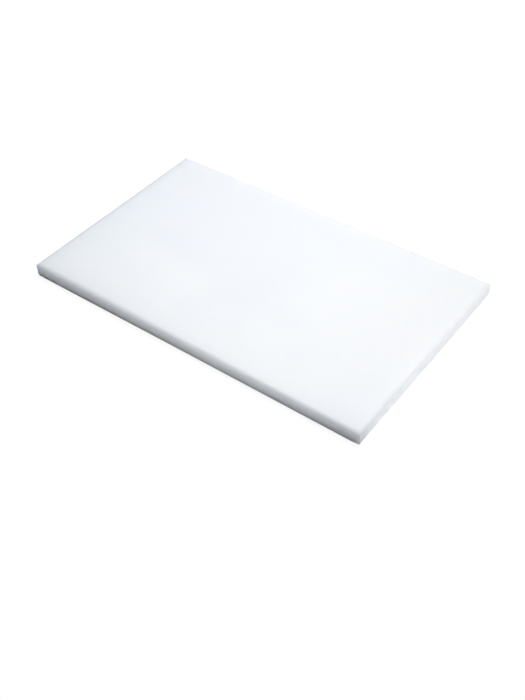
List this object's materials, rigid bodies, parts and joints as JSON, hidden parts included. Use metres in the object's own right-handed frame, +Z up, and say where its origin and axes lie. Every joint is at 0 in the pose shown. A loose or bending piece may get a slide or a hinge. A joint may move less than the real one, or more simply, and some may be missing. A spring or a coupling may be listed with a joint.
{
  "type": "cutting board",
  "caption": "Plain rectangular slab of white plastic for cutting food on, flat on both faces, with small rounds along its edges and nearly sharp upright corners.",
  "frame": {"origin": "middle of the underside, on the surface that the board rests on", "axes": "+X along the long side, +Y along the short side, +Z up through the thickness"},
  "size_m": [0.53, 0.325, 0.02],
  "materials": {
    "white_polyethylene": "cool white polyethylene, satin and slightly translucent, with a very fine even grain on the faces"
  },
  "bodies": {
    "root": {"board": "white_polyethylene"}
  },
  "joints": []
}
